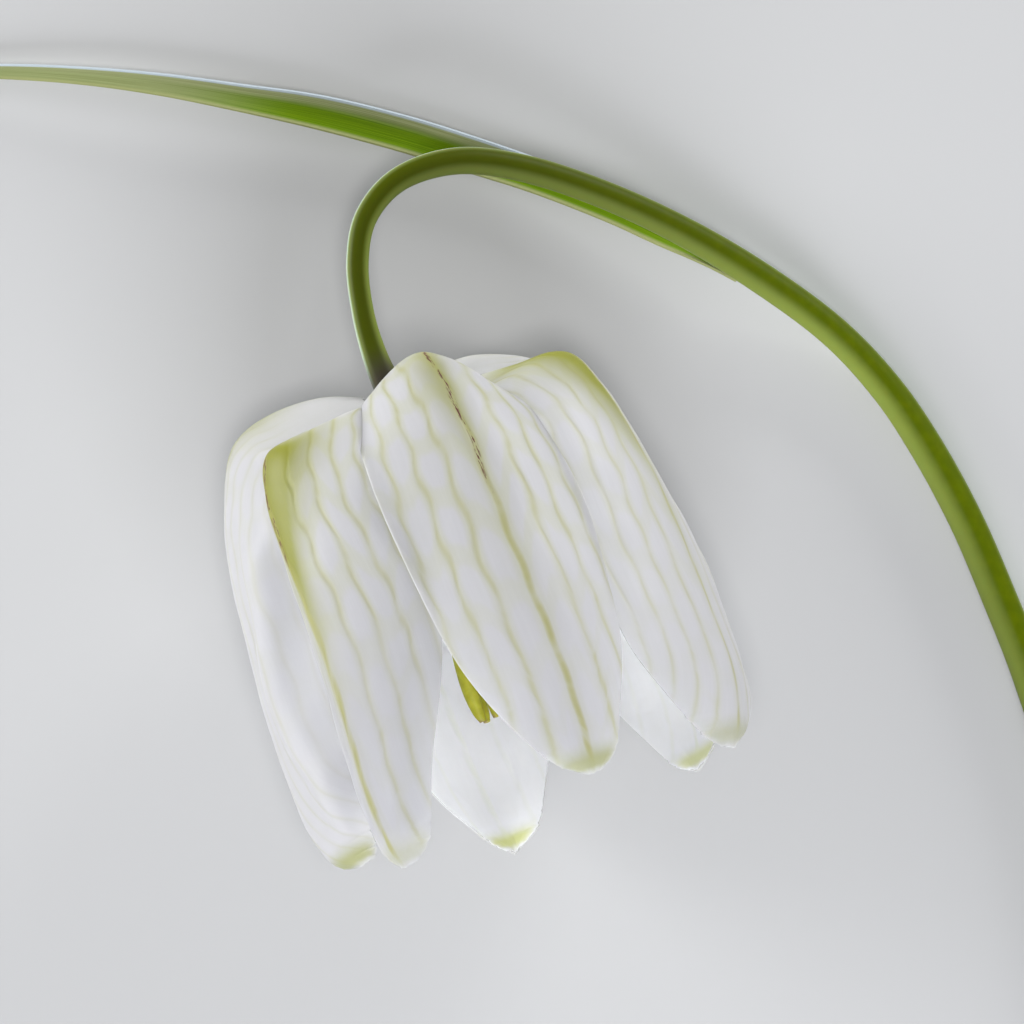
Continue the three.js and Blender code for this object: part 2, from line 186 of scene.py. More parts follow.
def bell_point(radius, along, azimuth):
    """Points by the bell's axis. Azimuth 0 faces up from the table, and 90 faces right."""
    angle = np.radians(azimuth)
    return (BELL_BASE + np.multiply.outer(along, ALONG)
            + np.multiply.outer(radius * np.cos(angle), UP)
            + np.multiply.outer(radius * np.sin(angle), RIGHT))


# ---- Making and finishing meshes ----

def pick(*pieces):
    """Selects these pieces alone and makes the first one active."""
    bpy.ops.object.select_all(action="DESELECT")
    for piece in pieces:
        piece.select_set(True)
    bpy.context.view_layer.objects.active = pieces[0]


def read(piece, name):
    """The places ("co") or the normals ("normal") of all points."""
    values = np.empty(len(piece.data.vertices) * 3)
    piece.data.vertices.foreach_get(name, values)
    return values.reshape(-1, 3)


def set_points(piece, points):
    piece.data.vertices.foreach_set("co", np.ascontiguousarray(points, np.float32).ravel())
    piece.data.update()


def rest_at(piece, height):
    """Flattens whatever lies lower than this height, in millimetres above the table."""
    points = read(piece, "co")
    points[:, 2] = np.maximum(points[:, 2], height * MM)
    set_points(piece, points)


def laid_grid(name, cells, place):
    """A grid laid on the surface place(across, down), across from -1 to 1 and down from 0 to 1."""
    bpy.ops.object.select_all(action="DESELECT")
    bpy.ops.mesh.primitive_grid_add(x_subdivisions=cells[0], y_subdivisions=cells[1], size=2)
    piece = bpy.context.object
    piece.name = piece.data.name = name
    flat = read(piece, "co")
    across, down = flat[:, 0], (flat[:, 1] + 1) / 2
    set_points(piece, place(across, down) * MM)
    return piece, across, down


def keep(piece, name, values):
    """Keeps one number at each point, for the materials."""
    layer = piece.data.attributes.new(name, "FLOAT", "POINT")
    layer.data.foreach_set("value", np.ascontiguousarray(values, np.float32))


def set_uv(piece, name, u, v):
    layer = piece.data.uv_layers.active
    layer.name = name
    corner = np.empty(len(piece.data.loops), np.int32)
    piece.data.loops.foreach_get("vertex_index", corner)
    layer.data.foreach_set("uv", np.column_stack([u[corner], v[corner]]).astype(np.float32).ravel())


def thicken(piece, thickness, shares, **settings):
    """Turns a sheet into a solid, with a share of the thickness for each point."""
    group = piece.vertex_groups.new(name="thickness")
    for vertex, share in enumerate(shares):
        group.add([vertex], float(share), "REPLACE")
    pick(piece)
    modifier = piece.modifiers.new("Thickness", "SOLIDIFY")
    modifier.thickness = thickness * MM
    modifier.offset = 0
    modifier.vertex_group = group.name
    for setting, value in settings.items():
        setattr(modifier, setting, value)
    bpy.ops.object.modifier_apply(modifier=modifier.name)
    piece.vertex_groups.clear()


def edit(piece, step):
    """Runs a step of edit mode operators on the whole piece."""
    pick(piece)
    bpy.ops.object.mode_set(mode="EDIT")
    bpy.ops.mesh.select_all(action="SELECT")
    step()
    bpy.ops.object.mode_set(mode="OBJECT")


def shade(piece, angle=50):
    """Smooths the shading, but not over edges sharper than the angle."""
    pick(piece)
    bpy.ops.object.shade_smooth_by_angle(angle=math.radians(angle))


def stands_for(piece, node):
    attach(piece, "root")
    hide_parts(node)


# ---- Materials ----

FIBRE_WHITE = (0.66, 0.67, 0.70, 1)
MOTTLE_GREY = (0.42, 0.43, 0.37, 1)
# Grey of the painted shade on the tepals
PAINTED_SHADE_GREY = (0.24, 0.24, 0.26, 1)
KEEL_GREEN = (0.20, 0.205, 0.02, 1)
DASH_BROWN = (0.085, 0.018, 0.014, 1)
RIPE_BROWN = (0.16, 0.07, 0.07, 1)


class Finish:
    """A material, and short ways to wire sums into it."""

    def __init__(self, name, roughness, specular):
        self.material = bpy.data.materials.new(name)
        self.material.use_nodes = True
        self.tree = self.material.node_tree
        self.shader = self.tree.nodes["Principled BSDF"]
        self.set("Roughness", roughness)
        self.set("Specular IOR Level", specular)

    def set(self, socket, value):
        self.shader.inputs[socket].default_value = value

    def node(self, kind, **settings):
        made = self.tree.nodes.new(kind)
        for setting, value in settings.items():
            setattr(made, setting, value)
        return made

    def wire(self, value, socket):
        if isinstance(value, bpy.types.NodeSocket):
            self.tree.links.new(value, socket)
        else:
            socket.default_value = value

    def calc(self, operation, *values):
        made = self.node("ShaderNodeMath", operation=operation)
        for value, socket in zip(values, made.inputs):
            self.wire(value, socket)
        return made.outputs[0]

    def product(self, first, *others):
        for value in others:
            first = self.calc("MULTIPLY", first, value)
        return first

    def band(self, value, low, high, start=0.0, end=1.0):
        """Goes smoothly from start at low to end at high."""
        made = self.node("ShaderNodeMapRange", interpolation_type="SMOOTHSTEP")
        for part, socket in zip((value, low, high, start, end), made.inputs):
            self.wire(part, socket)
        return made.outputs[0]

    def kept(self, name):
        return self.node("ShaderNodeAttribute", attribute_name=name).outputs["Fac"]

    def uv(self, name):
        source = self.node("ShaderNodeUVMap", uv_map=name)
        parts = self.node("ShaderNodeSeparateXYZ")
        self.wire(source.outputs[0], parts.inputs[0])
        return parts.outputs[0], parts.outputs[1]

    def point(self, x, y):
        made = self.node("ShaderNodeCombineXYZ")
        self.wire(x, made.inputs[0])
        self.wire(y, made.inputs[1])
        return made.outputs[0]

    def here(self):
        return self.node("ShaderNodeTexCoord").outputs["Object"]

    def noise(self, place, scale, detail):
        made = self.node("ShaderNodeTexNoise")
        self.wire(place, made.inputs["Vector"])
        made.inputs["Scale"].default_value = scale
        made.inputs["Detail"].default_value = detail
        return made.outputs[0]

    def blend(self, share, below, above):
        made = self.node("ShaderNodeMix", data_type="RGBA")
        self.wire(share, made.inputs["Factor"])
        self.wire(below, made.inputs["A"])
        self.wire(above, made.inputs["B"])
        return made.outputs["Result"]

    def paint(self, colour):
        self.wire(colour, self.shader.inputs["Base Color"])

    def bump(self, height, strength, distance):
        made = self.node("ShaderNodeBump")
        made.inputs["Strength"].default_value = strength
        made.inputs["Distance"].default_value = distance
        self.wire(height, made.inputs["Height"])
        self.wire(made.outputs[0], self.shader.inputs["Normal"])

    def let_light_in(self, share, depth):
        self.set("Subsurface Weight", share)
        self.set("Subsurface Scale", depth)

    def wax(self, share, tint):
        """A thin waxy bloom that shows along the edges."""
        self.set("Sheen Weight", share)
        self.set("Sheen Roughness", 0.12)
        self.set("Sheen Tint", tint)


def petal_finish(name, ground, cell, vein, vein_share, halo, midrib, tip, green_share):
    """White petal skin with wavy green veins round paler oval cells."""
    skin = Finish(name, roughness=0.5, specular=0.3)
    x, y = skin.uv("veins")

    # Distance from the nearest vein, in vein spacings: the midrib swings less than the others
    nearest = skin.calc("ROUND", x)
    on_midrib = skin.calc("COMPARE", nearest, 0.0, 0.5)
    reach = skin.calc("MULTIPLY_ADD", on_midrib, -0.55 * VEIN_SWING, VEIN_SWING)
    turn = skin.product(skin.calc("MULTIPLY_ADD", nearest, 0.5, y), math.tau)
    swing = skin.product(skin.calc("SINE", turn), reach, skin.kept("waves"))
    off = skin.calc("ABSOLUTE", skin.calc("SUBTRACT", skin.calc("SUBTRACT", x, nearest), swing))

    # The vein itself, of uneven strength, and the soft green beside it
    uneven = skin.noise(skin.point(nearest, skin.product(y, 1.1)), 1.7, 2.0)
    strength = skin.product(skin.band(uneven, 0.3, 0.6, 0.45, 1.0), skin.kept("vein"))
    core = skin.product(on_midrib, 0.01)
    edge = skin.calc("MULTIPLY_ADD", on_midrib, -0.02, 0.15)
    line = skin.product(skin.band(off, core, edge, 1.0, 0.0), strength)
    beside = skin.product(skin.band(off, 0.0, 0.36, 1.0, 0.0), strength, halo)

    # The cells: a column of ovals between two veins, half a cell higher than the next column
    turn = skin.calc("MULTIPLY_ADD", skin.calc("FLOOR", x), 0.5, skin.calc("SUBTRACT", y, 0.75))
    swell = skin.calc("MULTIPLY_ADD", skin.calc("COSINE", skin.product(turn, math.tau)), 0.5, 0.5)
    oval = skin.product(skin.band(swell, 0.05, 0.5), skin.band(off, 0.1, 0.3))
    between = skin.product(
        skin.calc("SUBTRACT", 1.0, oval), skin.kept("vein"), skin.kept("waves"))
    oval = skin.calc("SUBTRACT", 1.0, between)

    fibre = skin.noise(skin.point(skin.product(x, 9.0), y), 1.0, 3.0)
    mottle = skin.noise(skin.here(), 260.0, 3.0)
    colour = skin.blend(skin.product(oval, 0.9), ground, cell)
    colour = skin.blend(skin.band(fibre, 0.35, 0.75, 0.0, 0.04), colour, FIBRE_WHITE)
    colour = skin.blend(skin.band(mottle, 0.4, 0.8, 0.0, 0.1), colour, MOTTLE_GREY)
    colour = skin.blend(beside, colour, vein)
    colour = skin.blend(skin.product(line, vein_share), colour, vein)
    # Painted shade: grey beyond the crease of a folded tepal and over the blade's lower part
    colour = skin.blend(skin.product(skin.kept("painted_shade"), 0.4), colour, PAINTED_SHADE_GREY)
    colour = skin.blend(skin.product(skin.kept("green"), green_share), colour, KEEL_GREEN)
    colour = skin.blend(skin.kept("tip"), colour, tip)
    colour = skin.blend(skin.product(line, on_midrib, skin.kept("midrib")), colour, midrib)

    # Brown dashes along the midrib
    spots = skin.noise(skin.point(skin.product(x, 18.0), skin.product(y, 6.0)), 1.0, 3.0)
    thread = skin.product(skin.band(off, 0.01, 0.085, 1.0, 0.0), on_midrib)
    dash = skin.product(skin.band(spots, 0.47, 0.57), skin.kept("dashes"), thread)
    skin.paint(skin.blend(dash, colour, DASH_BROWN))

    skin.bump(skin.calc("MULTIPLY_ADD", fibre, 0.15, skin.product(line, -0.5)), 0.3, 0.0002)
    skin.let_light_in(0.9, 0.002)
    skin.set("Subsurface Radius", (1.0, 1.0, 1.0))
    return skin.material


def stem_finish():
    """Olive skin with painted highlights down both sides. Its side runs from -1 on the outer side of
    the bow to 1 on the inner side.
    """
    skin = Finish("stem_skin", roughness=0.45, specular=0.05)
    side, hook = skin.kept("side"), skin.kept("hook")
    streak = skin.noise(skin.here(), 900.0, 3.0)
    grain = skin.band(streak, 0.35, 0.7, 0.0, 0.5)
    colour = skin.blend(grain, (0.072, 0.102, 0.0, 1), (0.10, 0.135, 0.0, 1))
    colour = skin.blend(hook, colour, (0.048, 0.06, 0.002, 1))
    # Painted highlights: a broad lighter band on the inner side of the bow and a paler glow on the
    # outer side
    colour = skin.blend(skin.band(side, 0.4, 1.0, 0.0, 0.6), colour, (0.25, 0.31, 0.07, 1))
    colour = skin.blend(skin.band(side, -0.9, -0.35, 0.6, 0.0), colour, (0.24, 0.29, 0.09, 1))
    # Painted rim light: a bright pale line along the outer edge, weaker on the hook
    rim = skin.product(
        skin.band(side, -0.97, -0.74, 1.0, 0.0), skin.calc("MULTIPLY_ADD", hook, -0.5, 1.0))
    colour = skin.blend(rim, colour, (0.66, 0.8, 0.66, 1))
    skin.paint(skin.blend(skin.kept("flower_end"), colour, (0.045, 0.034, 0.034, 1)))
    skin.bump(streak, 0.15, 0.0001)
    skin.wax(0.12, (0.85, 0.95, 1.0, 1))
    skin.let_light_in(0.1, 0.001)
    return skin.material


def leaf_finish():
    """Green near the stem under a grey bloom, with a pale lower margin and a painted highlight along
    the upper margin.
    """
    skin = Finish("leaf_skin", roughness=0.5, specular=0.06)
    x, y = skin.uv("blade")
    vein = skin.noise(skin.point(skin.product(x, 40.0), skin.product(y, 6.0)), 1.0, 2.0)
    stripe = skin.band(vein, 0.3, 0.7)
    green = skin.blend(stripe, (0.085, 0.165, 0.0, 1), (0.14, 0.235, 0.002, 1))
    bloom = skin.blend(stripe, (0.22, 0.24, 0.10, 1), (0.30, 0.33, 0.16, 1))
    fresh = skin.product(skin.band(x, 0.14, 0.44), skin.band(y, 0.52, 0.68, 1.0, 0.15))
    colour = skin.blend(fresh, bloom, green)
    colour = skin.blend(skin.band(x, 0.88, 0.985), colour, (0.29, 0.31, 0.13, 1))
    # Painted highlight: a pale bluish line along the upper margin
    colour = skin.blend(skin.band(x, 0.03, 0.08, 1.0, 0.0), colour, (0.42, 0.48, 0.52, 1))
    skin.paint(colour)
    skin.bump(vein, 0.25, 0.0002)
    skin.wax(0.2, (0.8, 0.92, 1.0, 1))
    return skin.material


def plain_finish(name, dark, light, grain, roughness):
    """Two tones in a fine cloud, brown where the piece is ripe."""
    skin = Finish(name, roughness=roughness, specular=0.4)
    cloud = skin.noise(skin.here(), grain, 3.0)
    colour = skin.blend(skin.band(cloud, 0.3, 0.7), dark, light)
    skin.paint(skin.blend(skin.kept("ripe"), colour, RIPE_BROWN))
    skin.bump(cloud, 0.3, 0.0002)
    skin.let_light_in(0.15, 0.0008)
    return skin.material


# ---- Tepals ----

def profile(shape, name, down):
    return spline([[value] for value in shape[name]], down)[:, 0]


def by_half(shape, right, left, across, down):
    """The right half's list for points right of the middle, and the left half's for the others."""
    return np.where(across > 0, profile(shape, right, down), profile(shape, left, down))


def narrowing(kind, down):
    """From 0 where the blade is at its widest to 1 at the tip."""
    share = np.clip((down - kind["taper_from"]) / (1 - kind["taper_from"]), 0, 1)
    return share ** kind["taper_power"]


def past_crease(shape, across, down):
    """How far a point lies beyond the crease of a folded tepal, and the crease's strength."""
    beyond = across - CREASE_AT - 0.07 * np.cos(17 * (down - 0.47))
    return beyond, shape["crest"] * smooth((down - 0.38) / 0.12) * (1 - smooth((down - 0.8) / 0.12))


def tepal_surface(shape):
    """place(across, down) for the sheet of one tepal, in millimetres."""
    kind, seed = shape["kind"], shape["seed"]
    rib_end = kind["rib"][-1][1]
    stretch = (shape["length"] - BODY_FROM) / (rib_end - BODY_FROM)

    def place(across, down):
        # Down the middle
        fray = np.sin(5 * across + 3 * seed) + np.sin(12 * across + seed)
        down = 0.99 * down + FRAY * fray * smooth((down - 0.93) / 0.07)
        radius, along = spline(kind["rib"], down).T
        radius = radius + profile(shape, "stand", down)
        along = np.where(along > BODY_FROM, BODY_FROM + (along - BODY_FROM) * stretch, along)
        along = along - profile(shape, "lift", down)

        # Out to the margins
        rounding = 0.95 * np.clip((down - TIP_FROM) / (1 - TIP_FROM), 0, 1)
        taper = (1 - (1 - kind["tip_width"]) * narrowing(kind, down)) * np.sqrt(1 - rounding ** 2)
        claw, body = kind["claw_angle"], kind["body_angle"]
        half_angle = (claw + (body - claw) * smooth(down / 0.5)) * taper
        half_angle = half_angle * by_half(shape, "right", "left", across, down)
        start = seed + np.where(across > 0, 0, 2)
        nibble = (np.sin(150 * down + 7 * start) + np.sin(263 * down + 5 * start)
                  + np.sin(411 * down + start))
        half_angle = half_angle * (1 + NIBBLE * nibble * smooth((down - 0.86) / 0.08))
        angle = shape["azimuth"] + profile(shape, "swing", down) + across * half_angle

        # Sloping to each side like a roof, with the keel as its ridge
        keel = kind["keel"] + (kind["body_keel"] - kind["keel"]) * smooth((down - 0.2) / 0.35)
        roof = (np.hypot(across, keel) - keel) / (np.hypot(1, keel) - keel)
        fold = kind["fold"] * smooth(down / 0.3) * taper
        fold = fold + kind["shoulder_fold"] * bell(down, 0.27, 0.13)
        depth = fold * by_half(shape, "right_tuck", "left_tuck", across, down)
        sink = kind["sink"] * np.where(across > 0, *shape["drape"]) * bell(down, 0.2, 0.16)

        beyond, strength = past_crease(shape, across, down)
        crease = CREASE_RISE * bell(beyond, 0, 0.12) - CREASE_FALL * smooth(beyond / 0.3)
        beak_length, beak_at = shape["beak"]
        beak = beak_length * bell(across, beak_at, 0.45) * smooth((down - 0.955) / 0.045)
        out = radius - depth * roof + strength * crease
        return bell_point(out, along + sink * roof + beak, angle)

    return place


def vein_place(shape, across, down):
    """Where a point lies in vein spacings across and in vein waves down the blade."""
    kind, seed = shape["kind"], shape["seed"]
    spread = kind["veins"] * (1 - 0.75 * narrowing(kind, down))
    x = across * by_half(shape, "right", "left", across, down) * spread
    wander = (0.08 * np.sin(6 * down + seed + 3 * across)
              + 0.03 * np.sin(15 * down + 2 * seed - 5 * across)
              + 0.012 * np.sin(34 * down + 3 * seed + 9 * across))
    x = x - 0.3 * np.tanh(x) + wander * np.abs(across) ** 0.5
    y = (CELL_ROWS * down ** 0.9 + 0.16 * np.sin(3.3 * across * kind["veins"] + 3 * seed)
         + 0.2 * np.sin(9 * down + 2 * across * kind["veins"]))
    return x, y


def quilt(x, y):
    """Swelling of the oval cells between wavy veins, from 0 at a vein to 1 in a cell's middle."""
    column = np.floor(x)
    left = column + VEIN_SWING * np.sin(math.tau * (y + column / 2))
    right = column + 1 + VEIN_SWING * np.sin(math.tau * (y + (column + 1) / 2))
    across = np.clip((x - left) / (right - left), 0, 1)
    swell = 0.6 + 0.4 * np.cos(math.tau * (y + column / 2 - 0.75))
    return swell * (1 - (2 * across - 1) ** 2)


def relief(shape, across, down, x, y):
    """How far the skin stands out from the sheet, in millimetres."""
    seed = shape["seed"]
    at_margin = np.abs(across) ** 6
    off_claw = smooth((down - 0.12) / 0.15)
    swell = QUILT_HEIGHT * quilt(x, y) * (1 - at_margin) * (1 - 0.5 * smooth((down - 0.7) / 0.3))
    ripple = RIPPLE_HEIGHT * at_margin * np.sin(31 * down + seed + 2 * np.sign(across))
    buckle = np.sin(12 * down + 4 * across + seed) * np.sin(6 * across - 7 * down + 2 * seed)
    pleat = np.sin(60 * down + 4 * np.sin(3 * across + seed)) * smooth((np.abs(across) - 0.1) / 0.5)
    crimp = (BUCKLE_HEIGHT * buckle + PLEAT_HEIGHT * pleat) * (1 - at_margin)
    return (swell + ripple + crimp * (1 - smooth((down - 0.82) / 0.1))) * off_claw


def keel_green(shape, across, down):
    """Green along the keel, with a fainter narrow band on it and a breath of green on the dome."""
    green = shape["green"]
    off_middle = across * by_half(shape, "right", "left", across, down) * MARGIN
    reach = np.where(across > 0, green["right"], green["left"])
    reach = reach * np.maximum(1.6 - 4.6 * np.maximum(down - 0.23, 0), 0.35)
    on_dome = 1 - smooth((down - 0.24) / 0.07)
    fading = smooth((down - 0.1) / 0.12) * (1 - smooth((down - green["end"] + 0.2) / 0.28))
    fading = fading * (1 - (1 - green["dome"]) * on_dome)
    wide = bell((off_middle - green["aside"]) / reach, 0, 1) * fading
    narrow = bell(off_middle, 0, 1.6) * (1 - smooth((down - 0.5) / 0.3))
    return np.clip(green["strength"] * (wide + 0.22 * narrow) + 0.1 * on_dome, 0, 1)


def mark_skin(piece, shape, across, down):
    """Keeps on the mesh where the skin is green, veined, painted with shade or spotted."""
    keep(piece, "green", keel_green(shape, across, down))
    veined = smooth((down - 0.12) / 0.16) * (1 - 0.8 * smooth((down - 0.91) / 0.07))
    keep(piece, "vein", shape["veining"] * veined * (1 - 0.35 * np.abs(across) ** 6))
    keep(piece, "waves", 1 - 0.7 * smooth((down - 0.5) / 0.3))
    midrib = 0.35 + 0.4 * smooth((down - 0.35) / 0.3)
    keep(piece, "midrib", midrib * (1 - smooth((down - 0.94) / 0.05)))
    # Painted shade beyond the crease of a folded tepal
    beyond, strength = past_crease(shape, across, down)
    # Painted shade that darkens the blade's lower part
    painted_dusk = shape["painted_dusk"] * smooth((down - 0.35) / 0.4) * (1 - smooth((down - 0.88) / 0.07))
    keep(piece, "painted_shade", strength * smooth(beyond / 0.12) + painted_dusk)
    pale_rim = np.maximum(np.abs(across) ** 8, smooth((down - 0.975) / 0.025))
    keep(piece, "tip", shape["knob"] * smooth((down - 0.90) / 0.06) * (1 - 0.8 * pale_rim))
    dashed = (down > 0.2) * (shape["dashes"] > 0)
    keep(piece, "dashes", dashed * (1 - smooth((down - shape["dashes"] + 0.05) / 0.07)))


def tepal(name, shape, outside, inside):
    surface = tepal_surface(shape)
    piece, across, down = laid_grid(name.replace("tepal", "petal"), TEPAL_CELLS, surface)
    x, y = vein_place(shape, across, down)
    set_uv(piece, "veins", x, y)
    inward = read(piece, "normal")
    set_points(piece, read(piece, "co") - inward * relief(shape, across, down, x, y)[:, None] * MM)
    rest_at(piece, TEPAL_THICK / 2)
    mark_skin(piece, shape, across, down)

    piece.data.materials.append(inside)
    piece.data.materials.append(outside)
    stout = 0.45 + 0.55 * (1 - np.abs(across) ** 3) - 0.35 * smooth((down - 0.95) / 0.05)
    thicken(
        piece, TEPAL_THICK, np.clip(stout, 0, 1), use_even_offset=False,
        material_offset=1, material_offset_rim=1)
    shade(piece)
    stands_for(piece, name)


# ---- Stem, leaf, pistil and stamens ----

# [x, y, z, diameter] down the stem, from the flower to the cut end
STEM = [
    [-10.6, 10.4, 15.7, 2.7], [-12, 13.6, 15.2, 2.25], [-13.1, 17.5, 14.6, 1.98],
    [-13.6, 22, 13.8, 2.0], [-12.8, 26.1, 13.1, 2.05], [-9.9, 29.4, 12.2, 2.2],
    [-5, 31, 11, 2.4], [0.7, 30.5, 9.5, 2.45], [7.3, 28.5, 7.6, 2.5], [14.4, 25.4, 5.6, 2.62],
    [21.4, 21.4, 3.7, 2.8], [28.4, 16.4, 2.3, 2.85], [33.4, 11.2, 1.6, 2.95],
    [37.2, 5.6, 1.45, 3.05], [40.7, -0.9, 1.45, 3.1], [43.7, -7.9, 1.5, 3.15],
    [46.3, -14.5, 1.5, 3.2], [48.8, -22.6, 1.5, 3.2], [50.3, -31.1, 1.5, 3.2],
    [51, -39.2, 1.5, 3.2],
]

# [distance along the bell's axis, diameter] of the cup that carries the tepals
RECEPTACLE = [[-1.7, 1.6], [-1.0, 2.4], [-0.4, 3.6], [0.1, 4.5], [0.8, 4.6], [1.6, 4.6], [2.3, 4.6]]

# [x, y, z, half width] down the leaf
LEAF = [
    [20.2, 20.9, 2.65, 0.5], [15, 24.3, 2.3, 1.35], [9.7, 27, 1.9, 1.45], [2.5, 29.9, 1.5, 1.5],
    [-3.8, 32, 1.4, 1.6], [-10, 33.9, 1.6, 1.6], [-17.2, 35.7, 2, 1.5], [-24.3, 37, 2.4, 1.2],
    [-31.5, 38.2, 2.5, 0.95], [-38.6, 39, 2.2, 0.75], [-45.8, 39.4, 1.6, 0.62],
    [-53.9, 39.4, 0.9, 0.45], [-61.6, 39, 0.35, 0.3],
]
LEAF_THICK = 0.5
LEAF_CHANNEL = 0.4                # how far the margins stand up, as a share of the half width
SEAT_ROLL = math.radians(31)      # turn of the blade where it sits on the stem

# [distance from the start, diameter] up the style, over the ovary at its foot
STYLE = [[0, 2.6], [3, 2.9], [6, 2.7], [9, 1.5], [13, 1.3], [18, 1.6], [22.6, 2.0]]
PISTIL_START = 2.6
PISTIL_END = 30.2
PISTIL_LEAN = -0.055              # to the right for each millimetre along

# [distance before the end, place out from the axis, more of it in a lobe that bulges, diameter]
LOBE = [
    [11, 0.3, 0.4, 1.0], [8, 0.4, 0.6, 1.3], [5.5, 0.5, 0.75, 1.35], [3, 0.6, 0.75, 1.25],
    [1, 0.65, 0.45, 1.0], [0, 0.65, 0.15, 0.6],
]
LOBES = [(320, 1.0, 1.1), (70, 0.1, 0.8), (200, 0.4, 1.0)]      # azimuth, bulge, girth

# [distance from the start, place out from the axis, diameter] down a stamen
FILAMENT = [[0, 1.95, 0.7], [3.15, 2.2, 0.7], [6.825, 2.7, 0.62], [10.5, 3.1, 0.6]]
ANTHER = [[11.5, 3.15, 1.5], [14, 3.2, 1.6], [16.5, 3.2, 1.4], [17.5, 3.2, 0.7]]
STAMENS = 6
FIRST_STAMEN = 17                 # azimuth of the first

# Cells round and along a rod, or across and along the leaf
STEM_CELLS = (32, 300)
CUP_CELLS = (24, 24)
LEAF_CELLS = (24, 300)
PISTIL_CELLS = (20, 60)
STAMEN_CELLS = (16, 70)


def shifted(rows):
    """Rows placed from the middle of the view, moved to their place in the frame."""
    return [[*(np.array(row[:3]) + CENTRE), *row[3:]] for row in rows]


def rod(name, rows, cells):
    """A rod through [x, y, z, diameter] rows, still open along its seam and at its ends."""
    steps = cells[1]
    nodes = spline(rows, np.linspace(0, 1, steps + 1))
    centres = nodes[:, :3]
    tangents = np.gradient(centres, axis=0)
    tangents /= np.linalg.norm(tangents, axis=1)[:, None]
    side = np.array([0.0, 0.0, 1.0])
    frames = []
    for tangent in tangents:
        side = side - side.dot(tangent) * tangent
        side /= np.linalg.norm(side)
        frames.append((side, np.cross(tangent, side)))
    first, second = np.array(frames).transpose(1, 0, 2)

    def place(across, down):
        ring = np.rint(down * steps).astype(int)
        angle = math.pi * across
        radius = nodes[ring, 3] / 2
        return (centres[ring] + (radius * np.cos(angle))[:, None] * first[ring]
                + (radius * np.sin(angle))[:, None] * second[ring])

    return laid_grid(name, cells, place)


def close_rod():
    """Joins the seam and closes both ends."""
    bpy.ops.mesh.remove_doubles(threshold=1e-6)
    bpy.ops.mesh.fill_holes(sides=0)
    bpy.ops.mesh.normals_make_consistent(inside=False)


def stem(skin):
    piece, across, down = rod("flower_stem", shifted(STEM), STEM_CELLS)
    rest_at(piece, 0)
    keep(piece, "flower_end", 0.85 * (1 - smooth((down - 0.015) / 0.055)))
    keep(piece, "hook", 0.85 * (1 - smooth((down - 0.3) / 0.35)))
    # Which side of the stem a point lies on, for the painted highlights
    keep(piece, "side", np.where(np.abs(across) < 0.5, np.sin(math.pi * across), np.sign(across)))
    edit(piece, close_rod)
    cup = [[*bell_point(0, along, 0), diameter] for along, diameter in RECEPTACLE]
    base, _, _ = rod("flower_base", cup, CUP_CELLS)
    edit(base, close_rod)
    keep(base, "flower_end", np.full(len(base.data.vertices), 0.85))
    for part in (piece, base):
        part.data.materials.append(skin)
        shade(part)
    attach(base, "root")
    stands_for(piece, "stem")


def leaf(skin):
    rows = shifted(LEAF)

    def place(across, down):
        middle = spline(rows, down)
        half = middle[:, 3:]
        tangent = (spline(rows, down + 0.01) - spline(rows, down - 0.01))[:, :3]
        tangent /= np.linalg.norm(tangent, axis=1)[:, None]
        flat = np.cross([0.0, 0.0, 1.0], tangent)
        flat /= np.linalg.norm(flat, axis=1)[:, None]
        raised = np.cross(tangent, flat)
        roll = (SEAT_ROLL * (1 - smooth(down / 0.15)))[:, None]
        wide = flat * np.cos(roll) + raised * np.sin(roll)
        high = raised * np.cos(roll) - flat * np.sin(roll)
        aside = across[:, None]
        return middle[:, :3] + wide * half * aside + high * LEAF_CHANNEL * half * aside ** 2

    piece, across, down = laid_grid("leaf_blade", LEAF_CELLS, place)
    set_uv(piece, "blade", (across + 1) / 2, down)
    piece.data.materials.append(skin)
    thicken(piece, LEAF_THICK, 1 - 0.55 * across ** 4)
    rest_at(piece, 0)
    shade(piece, 60)
    stands_for(piece, "leaf")


def beside_style(out, along, azimuth, diameter):
    """A rod's row at a distance out from the leaning axis of the pistil."""
    return [*(bell_point(out, along, azimuth) + RIGHT * PISTIL_LEAN * along), diameter]


def pistil(skin):
    style, _, _ = rod("pistil_column", [
        beside_style(0, PISTIL_START + along, 0, diameter) for along, diameter in STYLE], PISTIL_CELLS)
    edit(style, close_rod)
    parts = [style]
    for azimuth, bulge, girth in LOBES:
        lobe, across, down = rod("lobe", [
            beside_style(out + more * bulge, PISTIL_END - before, azimuth, diameter * girth)
            for before, out, more, diameter in LOBE], PISTIL_CELLS)
        keep(lobe, "ripe", 0.7 * smooth((down - 0.9) / 0.1) * smooth((across + 0.2) / 0.4))
        edit(lobe, close_rod)
        parts.append(lobe)
    pick(*parts)
    bpy.ops.object.join()
    style.data.materials.append(skin)
    shade(style)
    stands_for(style, "pistil")


def stamen(number, skin):
    azimuth = FIRST_STAMEN + 360 / STAMENS * (number - 1)
    piece, _, _ = rod(f"pollen_thread_{number}", [
        beside_style(out, PISTIL_START + along, azimuth, diameter)
        for along, out, diameter in FILAMENT + ANTHER], STAMEN_CELLS)
    edit(piece, close_rod)
    piece.data.materials.append(skin)
    shade(piece)
    stands_for(piece, f"stamen_{number}")


# ---- Table, light and camera ----

BELOW_FLOWER = -0.00005                # metres, so that the table doesn't touch the flower's skin
LAMPS_LOOK_AT = Vector((0, 0, 0.015))
CAMERA_HEIGHT = 0.7649
LENS = 300


